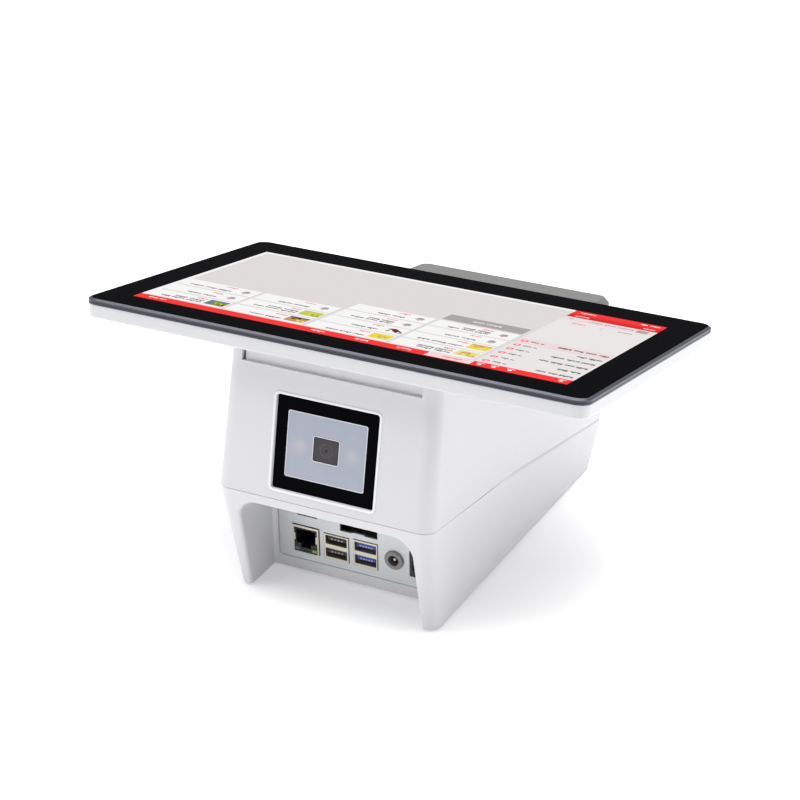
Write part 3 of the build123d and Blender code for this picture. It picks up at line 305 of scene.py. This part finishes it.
NODE_SURFACES = {
    shell_white: ["upper_shell", "lower_shell", "bottom_cover", "hinge_strip", "scanner_frame"],
    housing_white: ["screen_rear_housing"],
    bezel_grey: ["screen_bezel"],
    cover_grey: ["printer_cover"],
    button_grey: ["release_button", "power_button", "feed_button"],
    black_gloss: ["scanner_glass"],
    engine_black: ["scanner_engine", "speaker", "print_head", "paper_spindle"],
    rubber: ["rubber_feet", "screen_bumpers"],
    bright_steel: ["hinge_pins", "cover_hinge_rod", "platen_shaft", "feed_motor", "tear_bar"],
    sheet_steel: ["screen_chassis", "hinge_screen_leaves", "hinge_base_leaves", "printer_frame", "motor_bracket"],
    screw_steel: ["board_screws", "case_screws", "chassis_screws", "service_screws", "fixing_screws",
                  "hinge_leaf_screws"],
    nickel: ["usb2_shell", "usb3_shell", "power_jack_pin"],
    plate_metal: ["io_plate"],
    gold: ["ethernet_contacts"],
    brass: ["board_standoffs", "motor_pinion"],
    aluminium: ["heat_sink"],
    port_black: ["ethernet_port", "drawer_port"],
    usb_black: ["usb2_tongues"],
    usb_blue: ["usb3_tongues"],
    jack_ring: ["power_jack"],
    acetal: ["platen_bushes", "platen_gear", "idler_gear"],
    platen_rubber: ["platen_roller"],
    core_card: ["paper_core"],
    panel_back: ["lcd_panel"],
    light_green: ["status_light"],
    diffuser_surface(): ["scanner_diffuser"],
    lens_surface(): ["scanner_lens"],
    paper_surface(): ["paper_roll"],
    board_surface(): ["main_board", "display_board"],
}
for finish, dressed in NODE_SURFACES.items():
    for node in dressed:
        nodes[node].data.materials.clear()
        nodes[node].data.materials.append(finish)


# ---------------------------------------------------------------- mesh code that the pieces share
WELD = 1e-5                                    # mm, corners nearer than this are one
FLAT_ANGLE = 0.001                             # radians, faces flatter than this against each other are one


def round_box(half_w, half_h, radius, middle=(0.0, 0.0), steps=6):
    """Outline of a rectangle with round corners, anticlockwise."""
    points = []
    for quarter, (x, y) in enumerate(((1, 1), (-1, 1), (-1, -1), (1, -1))):
        for step in range(steps + 1):
            angle = math.pi / 2 * (quarter + step / steps)
            points.append((middle[0] + x * (half_w - radius) + radius * math.cos(angle),
                           middle[1] + y * (half_h - radius) + radius * math.sin(angle)))
    return points


def partition(outlines):
    """Cuts overlapping anticlockwise outlines into faces, each with the numbers of the outlines that cover it."""
    flat, loops = [], []
    for outline in outlines:
        loops.append(list(range(len(flat), len(flat) + len(outline))))
        flat.extend(Vector(point) for point in outline)
    points, _, faces, _, _, origins = delaunay_2d_cdt(flat, [], loops, 1, WELD)
    return points, list(zip(faces, origins))


def object_from(mesh, name, place):
    """Puts mesh code into the scene as an object, moved by a matrix."""
    data = bpy.data.meshes.new(name)
    mesh.to_mesh(data)
    mesh.free()
    data.transform(place)
    made = bpy.data.objects.new(name, data)
    bpy.context.scene.collection.objects.link(made)
    return made


def cut_sheet(name, outline, holes, thickness, place, finish, body, soften=0.0):
    """A sheet with openings: outline and holes in millimetres, standing on the plane that place describes."""
    points, faces = partition([outline, *holes])
    mesh = bmesh.new()
    corners = [mesh.verts.new((point.x, point.y, 0)) for point in points]
    for face, covering in faces:
        if max(covering) == 0:
            mesh.faces.new([corners[corner] for corner in face])
    bmesh.ops.dissolve_limit(mesh, angle_limit=FLAT_ANGLE, verts=mesh.verts, edges=mesh.edges)
    bmesh.ops.delete(mesh, geom=[vertex for vertex in mesh.verts if not vertex.link_faces], context="VERTS")
    grown = bmesh.ops.extrude_face_region(mesh, geom=mesh.faces[:])
    risen = [item for item in grown["geom"] if isinstance(item, bmesh.types.BMVert)]
    bmesh.ops.translate(mesh, verts=risen, vec=(0, 0, thickness))
    bmesh.ops.recalc_face_normals(mesh, faces=mesh.faces)
    made = object_from(mesh, name, place @ Matrix.Scale(MM, 4))
    made.data.materials.append(finish)
    if soften:
        bevel = made.modifiers.new("soft_edges", "BEVEL")
        bevel.width = soften * MM
        bevel.segments = 2
        bevel.limit_method = "ANGLE"
    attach(made, body)
    return made


# ---------------------------------------------------------------- scanner ring, painted scanner highlights and connector trims, in millimetres
EDGE_THICK, EDGE_LIFT = 0.12, 0.01             # painted highlight line along a window's edge, and its gap over the window that it lies on
EDGE_CORNERS = (1.1, 0.8)                      # outer and inner corner radius
HIGHLIGHT_LINES = {"diffuser_edge_highlight": ("scanner_diffuser", 0.45), "lens_edge_highlight": ("scanner_lens", 0.4)}
RING_DEEP, RING_PROUD, RING_WIDE = 1.0, 0.45, 1.9
RING_GAP = 0.25                                # from the scanner's glass to the ring
RING_CORNERS = (3.2, 1.6)
SHIELD_JAMB, SHIELD_HEAD = 1.0, 1.3            # width of the network socket's shield beside and over its mouth
LAMP_WINDOW = (1.35, 0.75, 0.3)                # half width, half height and corner radius
LAMP_OUT, LAMP_UP = 5.4, 2.0                   # from the socket's middle, and from its lower edge
FINGER = (0.55, 2.2, 0.4)
FINGER_OUT, FINGER_UP = 7.0, 9.5
FINGER_DEPTH = 0.2
USB_PITCH = 8.1                                # from the lower tongue to the upper one
USB_CONTACT = (0.42, 0.32, 0.1)
USB_CONTACT_UP, USB_CONTACT_ROW = 0.75, 8.4    # from the tongue's lower edge, and the width that the strips share
# a real bead, coloured lighter than the shell's white as a painted highlight along it
ring_highlight_white = surface("ring_highlight_white", rgb(228, 228, 230), 0.4, grain=2600.0, bump=0.08, tone=0.01)
# painted highlight: the light colour of the thin lines laid along the scanner windows' edges
highlight_line_white = surface("highlight_line_white", rgb(222, 224, 228), 0.35, grain=900.0, bump=0.08)
lamp_green = surface("lamp_green", rgb(150, 166, 58), 0.3, grain=900.0, bump=0.1, coat=0.3)
lamp_dim = surface("lamp_dim", rgb(92, 94, 96), 0.3, grain=900.0, bump=0.1, coat=0.3)


def near_flat(node):
    """A node's largest flat on the near side: its normal, its upward direction, and the node's reach along it."""
    flats = [face for face in nodes[node].data.polygons if face.normal.y < -0.5]
    normal = max(flats, key=lambda face: face.area).normal.copy()
    up = normal.cross(DECK_X)
    return normal, up if up.z > 0 else -up, span(node, normal)[1]


def half_size(node, up):
    """Half of a node's width, half of its height along a flat, and its middle height there."""
    low_x, high_x = (value / MM for value in span(node, DECK_X))
    low_up, high_up = (value / MM for value in span(node, up))
    return (high_x - low_x) / 2, (high_up - low_up) / 2, (low_up + high_up) / 2


def scanner_edge_highlights():
    """Thin lines of painted highlight along the edges of the frosted window and of the camera window."""
    normal, up, reach = near_flat("scanner_diffuser")
    for name, (node, width) in HIGHLIGHT_LINES.items():
        half_w, half_h, middle = half_size(node, up)
        origin = up * middle * MM + normal * (reach + EDGE_LIFT * MM)
        outline = round_box(half_w, half_h, EDGE_CORNERS[0])
        hole = round_box(half_w - width, half_h - width, EDGE_CORNERS[1])
        cut_sheet(name, outline, [hole], EDGE_THICK, placed(DECK_X, up, origin), highlight_line_white, "base",
                  0.03)


def scanner_ring():
    """Soft white bead that stands proud round the scanner's black window, in a white lighter than the shell's as a
    painted highlight along the bead.
    """
    normal, up, reach = near_flat("scanner_frame")
    half_w, half_h, middle = half_size("scanner_glass", up)
    origin = up * middle * MM + normal * (reach - RING_DEEP * MM)
    outline = round_box(half_w + RING_WIDE, half_h + RING_WIDE, RING_CORNERS[0])
    hole = round_box(half_w + RING_GAP, half_h + RING_GAP, RING_CORNERS[1])
    cut_sheet("scanner_ring", outline, [hole], RING_DEEP + RING_PROUD, placed(DECK_X, up, origin), ring_highlight_white,
              "base", 0.5)


def bay_place(node, depth=0.0):
    """The plane of a connector's face, with its origin at the shared frame's X and Z zero."""
    return placed(Vector((1, 0, 0)), Vector((0, 0, 1)), Vector((0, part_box(node)[0].y - depth * MM, 0)))


def ethernet_trim():
    """Nickel shield folded round the socket's mouth, its spring fingers and the two lamp windows."""
    low, high = (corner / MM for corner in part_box("ethernet_port"))
    middle = (low.x + high.x) / 2
    left, right, head = low.x + SHIELD_JAMB, high.x - SHIELD_JAMB, high.z - SHIELD_HEAD
    shield = [(low.x, low.z), (left, low.z), (left, head), (right, head), (right, low.z), (high.x, low.z),
              (high.x, high.z), (low.x, high.z)]
    cut_sheet("ethernet_shield", shield, [], 0.25, bay_place("ethernet_port"), nickel, "base", 0.08)
    for side, finish, name in ((-1, lamp_dim, "ethernet_light_left"), (1, lamp_green, "ethernet_light_right")):
        window = round_box(*LAMP_WINDOW, (middle + side * LAMP_OUT, low.z + LAMP_UP))
        cut_sheet(name, window, [], 0.2, bay_place("ethernet_port"), finish, "base", 0.05)
    for side in (-1, 1):
        finger = round_box(*FINGER, (middle + side * FINGER_OUT, low.z + FINGER_UP))
        cut_sheet("ethernet_finger_" + ("left" if side < 0 else "right"), finger, [], 0.22,
                  bay_place("ethernet_port", FINGER_DEPTH), nickel, "base", 0.08)


def usb_trim(shell, tongues, count):
    """Contact strips on the two tongues of a stacked socket."""
    low, high = (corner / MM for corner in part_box(tongues))
    middle = (low.x + high.x) / 2
    tall = high.z - low.z - USB_PITCH
    for level, base in enumerate((low.z, high.z - tall)):
        for pin in range(count):
            across = middle + (pin - (count - 1) / 2) * USB_CONTACT_ROW / count
            strip = round_box(*USB_CONTACT, (across, base + USB_CONTACT_UP))
            cut_sheet(f"{shell}_contact_{level}_{pin}", strip, [], 0.18, bay_place(tongues), nickel, "base")


scanner_edge_highlights()
scanner_ring()
ethernet_trim()
usb_trim("usb2", "usb2_tongues", 4)
usb_trim("usb3", "usb3_tongues", 5)


# ---------------------------------------------------------------- touch screen: glass slab with its lit picture
PICTURE_W, PICTURE_H = 256.1, 144.0            # mm
PICTURE_SHIFT = 3.1                            # mm, from the glass's middle towards the scanner side
GLASS_CORNER = 6.0
GLASS_EDGE = 0.35                              # mm, ground edge of the glass
HEADER = (0.0, 8.5)
FOOTER = (128.7, 135.9, 144.0)
LIST_W = 54.2
LIST_ROWS = (8.5, 18.2, 28.1, 38.0, 47.9, 57.0, 67.7)
CARD = (47.8, 14.1)
CARD_LEFTS = (56.75, 106.65, 157.05, 206.95)
CARD_ROWS = (4, 4, 3, 3)
CARD_TOP, CARD_PITCH = 9.9, 15.8
INKS = {
    "border": (9, 9, 11), "area": (228, 224, 223), "panel": (240, 236, 235), "white": (252, 252, 251),
    "pink": (246, 224, 225), "red": (255, 58, 57), "deep_red": (226, 44, 43), "tab": (255, 222, 223),
    "grey": (174, 170, 171), "dim": (150, 144, 144), "text": (20, 17, 19), "price": (232, 70, 66),
    "ring": (253, 112, 112), "gold": (216, 168, 78), "cream": (240, 226, 158), "yellow": (242, 222, 70),
    "bun": (198, 156, 104), "brown": (88, 50, 28), "leaf": (128, 150, 62), "blue": (96, 122, 168),
    "berry": (122, 30, 26), "lime": (204, 208, 80),
}
INK_NAMES = list(INKS)
WORD_STROKE = (0.6, 1.15)                      # least and greatest width of an upright stroke
WORD_HEIGHTS = (0.62, 0.7, 1.0)                # shares of the line's height
WORD_GAPS = (0.32, 1.2)                        # after a stroke, and after a word
DISH = ((0.6, 12.6), (2.6, 12.4))              # a card's food picture, from the card's corner
DISH_EDGE = 10.6
CARD_TEXT = 14.5
LIST_LEFT = 0.6
GLASS_STEPS = 8                                # parts of each round corner
words_seed = random.Random(7)
shapes = []                                    # (outline in u and v, ink), later ones lie over earlier ones


def lit_ink(name, levels):
    """A lit patch of the display under the cover glass: fine picture lines in its glow and a glossy glass coat."""
    made, tree, shader = started("ink_" + name)
    lines = tree.nodes.new("ShaderNodeTexWave")
    lines.bands_direction = "X"
    lines.inputs["Scale"].default_value = 1200.0
    tree.links.new(object_place(tree), lines.inputs["Vector"])
    colour = rgb(*levels)
    glow = blended(tree, lines.outputs["Fac"], shade(colour, 0.9), shade(colour, 1.0))
    tree.links.new(glow, shader.inputs["Emission Color"])
    shader.inputs["Emission Strength"].default_value = 0.0 if name == "border" else 0.99
    shader.inputs["Base Color"].default_value = rgb(8, 8, 10)
    tree.links.new(between(tree, noise(tree, 400.0), 0.1, 0.16), shader.inputs["Roughness"])
    shader.inputs["Specular IOR Level"].default_value = 0.001
    return made


def box_ink(u, v, ink):
    """A rectangle from low to high u and v."""
    shapes.append(([(u[0], v[0]), (u[1], v[0]), (u[1], v[1]), (u[0], v[1])], ink))


def oval_ink(u, v, half_u, half_v, ink, sides=14, turn=0.0):
    """An oval about (u, v), turned by an angle in radians."""
    points = []
    for step in range(sides):
        angle = 2 * math.pi * step / sides
        across, down = half_u * math.cos(angle), half_v * math.sin(angle)
        points.append((u + across * math.cos(turn) - down * math.sin(turn),
                       v + across * math.sin(turn) + down * math.cos(turn)))
    shapes.append((points, ink))


def strokes(u, v, lengths, ink, height=2.3):
    """A line of stand-in words: upright strokes of uneven height and width that spell nothing."""
    for length in lengths:
        end = u + length
        while u < end - 0.3:
            width = words_seed.uniform(*WORD_STROKE)
            drop = height * words_seed.choice(WORD_HEIGHTS)
            box_ink((u, min(u + width, end)), (v + height - drop, v + height), ink)
            u += width + WORD_GAPS[0]
        u = end + WORD_GAPS[1]


def food(u, v, inks):
    """A small picture of a dish: its table in the first ink and slices in the others."""
    (left, right), (top, low) = DISH
    box_ink((u + left, u + right), (v + top, v + low), inks[0])
    box_ink((u + left, u + right), (v + DISH_EDGE, v + low), inks[-1])
    for count, ink in enumerate(inks[1:]):
        across, down, turn = 2.1 * count, 1.7 * (count % 3), 0.5 - 0.4 * count
        oval_ink(u + 3.4 + across, v + 5.4 + down, 2.9, 1.9, ink, 12, turn)
        oval_ink(u + 3.0 + across, v + 5.0 + down, 1.4, 0.8, inks[count], 10, turn)


def cup(u, v):
    """The stand-in icon of a dish without a picture."""
    box_ink((u + 4.4, u + 8.6), (v + 5.2, v + 8.6), "grey")
    box_ink((u + 5.0, u + 8.0), (v + 8.6, v + 9.6), "dim")
    box_ink((u + 8.6, u + 9.6), (v + 6.0, v + 6.5), "price")
    oval_ink(u + 6.5, v + 4.1, 1.2, 0.5, "price", 8)


FOODS = {
    (0, 0): ("cream", "gold", "yellow", "bun", "cream"), (1, 0): ("yellow", "cream", "gold", "yellow"),
    (2, 0): ("bun", "cream", "gold", "brown"), (3, 0): ("leaf", "brown", "lime", "leaf", "blue"),
    (0, 1): ("yellow", "cream", "yellow", "gold"), (1, 1): ("white", "berry", "brown", "berry", "white"),
    (2, 1): ("lime", "leaf", "yellow", "lime"),
}


def picture_header():
    """Red bar over the picture, with its icons and tabs."""
    box_ink((0, PICTURE_W), HEADER, "red")
    for u in (5.0, 33.0, 42.0, 50.0):
        oval_ink(u, 4.2, 1.3, 1.3, "white", 8)
        box_ink((u - 2.2, u + 2.2), (6.1, 6.8), "white")
    box_ink((LIST_W, 79.9), (0.9, HEADER[1]), "tab")
    strokes(60.0, 3.8, (11.0,), "price", 2.2)
    for u in (89.0, 114.0, 140.0):
        strokes(u, 3.6, (8.0,), "white", 2.2)
    strokes(238.0, 3.6, (4.0, 6.0), "white", 2.0)


def picture_list():
    """The order list down the left, with a lit row, and its totals below."""
    box_ink((LIST_LEFT, LIST_W), (HEADER[1], FOOTER[0]), "panel")
    box_ink((LIST_LEFT, LIST_W), (LIST_ROWS[5], LIST_ROWS[6]), "pink")
    for top in LIST_ROWS[1:]:
        box_ink((LIST_LEFT, LIST_W), (top - 0.15, top + 0.15), "area")
    for count, (top, low) in enumerate(zip(LIST_ROWS, LIST_ROWS[1:])):
        middle = (top + low) / 2
        lengths = [words_seed.uniform(5.0, 8.0) for _ in range(2 + (count * 2 + 1) % 3)]
        strokes(2.4, middle - 1.6, lengths, "text", 2.8)
        box_ink((39.0, 41.2), (middle - 0.5, middle + 0.5), "text")
        strokes(42.4, middle - 1.3, (4.4,), "text", 2.4)
        oval_ink(50.3, middle, 2.2, 2.2, "ring")
        box_ink((49.0, 51.6), (middle - 0.3, middle + 0.3), "white")
        box_ink((50.0, 50.6), (middle - 1.3, middle - 0.3), "white")
        box_ink((50.0, 50.6), (middle + 0.3, middle + 1.3), "white")
    strokes(10.0, 114.4, (8.0,), "dim", 2.0)
    strokes(37.5, 114.4, (8.0,), "price", 2.0)
    box_ink((27.2, 27.5), (111.0, 118.0), "grey")
    box_ink((LIST_LEFT, LIST_W), (120.1, 128.0), "pink")
    box_ink((4.0, 10.4), (121.4, 127.0), "grey")
    strokes(12.5, 123.2, (9.0, 7.0, 8.0), "dim", 1.9)
    box_ink((47.6, 50.4), (123.6, 124.4), "dim")


def picture_footer():
    """The two red bars under the list."""
    box_ink((0, LIST_W), (FOOTER[0], FOOTER[1]), "deep_red")
    box_ink((0, LIST_W), (FOOTER[1], FOOTER[2]), "red")
    strokes(3.0, 131.2, (7.0,), "white", 2.0)
    strokes(42.0, 131.2, (8.0,), "white", 2.0)
    strokes(3.0, 139.0, (6.0, 4.0), "white", 2.2)
    strokes(41.0, 139.0, (9.0,), "white", 2.2)


def picture_cards():
    """Columns of dishes, each with a picture or an icon, and a grey card under the first."""
    for column, (left, rows) in enumerate(zip(CARD_LEFTS, CARD_ROWS)):
        for row in range(rows):
            top = CARD_TOP + CARD_PITCH * row
            box_ink((left, left + CARD[0]), (top, top + CARD[1]), "white")
            if (column, row) in FOODS:
                food(left, top, FOODS[column, row])
            else:
                cup(left, top)
            lengths = [words_seed.uniform(6.0, 9.5) for _ in range(2 + (column + row) % 2)]
            strokes(left + CARD_TEXT, top + 2.4, lengths, "text")
            if (column + row) % 3 == 0:
                strokes(left + CARD_TEXT, top + 5.8, lengths[:2], "text")
            strokes(left + CARD_TEXT, top + 10.0, (6.5,), "price", 2.0)
    top = CARD_TOP + CARD_PITCH * CARD_ROWS[0]
    left = CARD_LEFTS[0]
    box_ink((left, left + CARD[0]), (top + 0.5, top + 13.1), "grey")
    strokes(left + 15.0, top + 5.6, (9.0, 6.5), "white", 2.2)


def touch_screen():
    """Cover glass with the picture showing in its face, as one closed slab."""
    half = span("cover_glass", DECK_X)[1] / MM
    low_y, high_y = (reach / MM for reach in span("cover_glass", DECK_Y))
    low_n, high_n = (reach / MM for reach in span("cover_glass", DECK_N))
    reach_y = (high_y - low_y) / 2
    thick = high_n - low_n
    inset = GLASS_EDGE
    face = round_box(half - inset, reach_y - inset, GLASS_CORNER - inset, steps=GLASS_STEPS)
    edge = round_box(half, reach_y, GLASS_CORNER, steps=GLASS_STEPS)
    outlines = [face]
    inks = ["border"]
    for outline, ink in shapes:
        corners = [(PICTURE_W / 2 - u, v - PICTURE_H / 2 - PICTURE_SHIFT) for u, v in outline]
        outlines.append(corners[::-1])
        inks.append(ink)
    points, faces = partition(outlines)
    mesh = bmesh.new()
    top = [mesh.verts.new((point.x, point.y, 0)) for point in points]
    for corners, covering in faces:
        made = mesh.faces.new([top[corner] for corner in corners])
        made.material_index = INK_NAMES.index(inks[max(covering)])
    rings = [[mesh.verts.new((x, y, depth)) for x, y in outline]
             for outline, depth in ((face, 0), (edge, -inset), (edge, inset - thick), (face, -thick))]
    for upper, lower in zip(rings, rings[1:]):
        for count in range(len(upper)):
            after = (count + 1) % len(upper)
            mesh.faces.new((upper[count], lower[count], lower[after], upper[after]))
    mesh.faces.new(list(reversed(rings[-1])))
    bmesh.ops.remove_doubles(mesh, verts=mesh.verts, dist=1e-4)
    bmesh.ops.dissolve_limit(mesh, angle_limit=FLAT_ANGLE, verts=mesh.verts, edges=mesh.edges,
                             delimit={"MATERIAL"})
    bmesh.ops.recalc_face_normals(mesh, faces=mesh.faces)
    origin = DECK_Y * (low_y + high_y) / 2 * MM + DECK_N * high_n * MM
    made = object_from(mesh, "touch_screen", placed(DECK_X, DECK_Y, origin) @ Matrix.Scale(MM, 4))
    for name, levels in INKS.items():
        made.data.materials.append(lit_ink(name, levels))
    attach(made, "screen")
    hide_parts("cover_glass")


box_ink((0, PICTURE_W), (0, PICTURE_H), "white")
box_ink((LIST_W, PICTURE_W - 2.6), (HEADER[1], PICTURE_H - 3.5), "area")
picture_header()
picture_list()
picture_footer()
picture_cards()
touch_screen()


# ---------------------------------------------------------------- floor, lights and camera
FLOOR_HALF, FLOOR_GLOW = 2.6, 0.2
SKY_LEVEL = 0.36
LIGHTS = {                                     # place, aim, side of the panel, watts
    "overhead": ((-0.1, 0.3, 2.6), (0, 0, 0), 2.8, 118),
    "near_side": ((-2.1, -1.9, 1.0), (0, 0, 0.1), 1.4, 18),
    "right_side": ((2.6, 1.1, 0.9), (0, 0, 0.1), 1.4, 19),
}
CAMERA_PLACE = (0.50225, -0.98614, 0.63807)    # solved from the corners of the lit picture
CAMERA_TURN = (63.075, 1.096, 27.1835)         # degrees
LENS, SENSOR = 97.748, 36.0                    # mm


def studio_floor():
    """Plain pale floor, faintly lit so that it joins the white backdrop."""
    mesh = bmesh.new()
    bmesh.ops.create_grid(mesh, x_segments=8, y_segments=8, size=FLOOR_HALF)
    floor = object_from(mesh, "floor", Matrix.Identity(4))
    paper = surface("floor_paper", rgb(250, 250, 250), 0.9, grain=300.0, bump=0.02, tone=0.004, specular=0.1)
    shader = paper.node_tree.nodes["Principled BSDF"]
    shader.inputs["Emission Color"].default_value = (1, 1, 1, 1)
    shader.inputs["Emission Strength"].default_value = FLOOR_GLOW
    floor.data.materials.append(paper)


def studio_light(name, place, aim, size, power):
    """A large soft panel light."""
    data = bpy.data.lights.new(name, "AREA")
    data.shape = "SQUARE"
    data.size = size
    data.energy = power
    made = bpy.data.objects.new(name, data)
    made.location = place
    made.rotation_euler = (Vector(aim) - Vector(place)).to_track_quat("-Z", "Y").to_euler()
    bpy.context.scene.collection.objects.link(made)


def studio_camera():
    """The photo's own view."""
    data = bpy.data.cameras.new("camera")
    data.lens = LENS
    data.sensor_width = SENSOR
    data.clip_end = 50.0
    camera = bpy.data.objects.new("camera", data)
    camera.location = CAMERA_PLACE
    camera.rotation_euler = Euler([math.radians(angle) for angle in CAMERA_TURN])
    bpy.context.scene.collection.objects.link(camera)
    bpy.context.scene.camera = camera


def studio_sky(level):
    """Even light from all round, in front of a white backdrop."""
    world = bpy.data.worlds.new("studio")
    world.use_nodes = True
    tree = world.node_tree
    lighting = tree.nodes["Background"]
    lighting.inputs["Color"].default_value = (1, 1, 1, 1)
    lighting.inputs["Strength"].default_value = level
    backdrop = tree.nodes.new("ShaderNodeBackground")
    backdrop.inputs["Color"].default_value = (1, 1, 1, 1)
    rays = tree.nodes.new("ShaderNodeLightPath")
    choice = tree.nodes.new("ShaderNodeMixShader")
    tree.links.new(rays.outputs["Is Camera Ray"], choice.inputs["Fac"])
    tree.links.new(lighting.outputs["Background"], choice.inputs[1])
    tree.links.new(backdrop.outputs["Background"], choice.inputs[2])
    tree.links.new(choice.outputs["Shader"], tree.nodes["World Output"].inputs["Surface"])
    bpy.context.scene.world = world


studio_floor()
studio_sky(SKY_LEVEL)
for name, (place, aim, size, power) in LIGHTS.items():
    studio_light(name, place, aim, size, power)
studio_camera()
bpy.context.scene.view_settings.view_transform = "Standard"
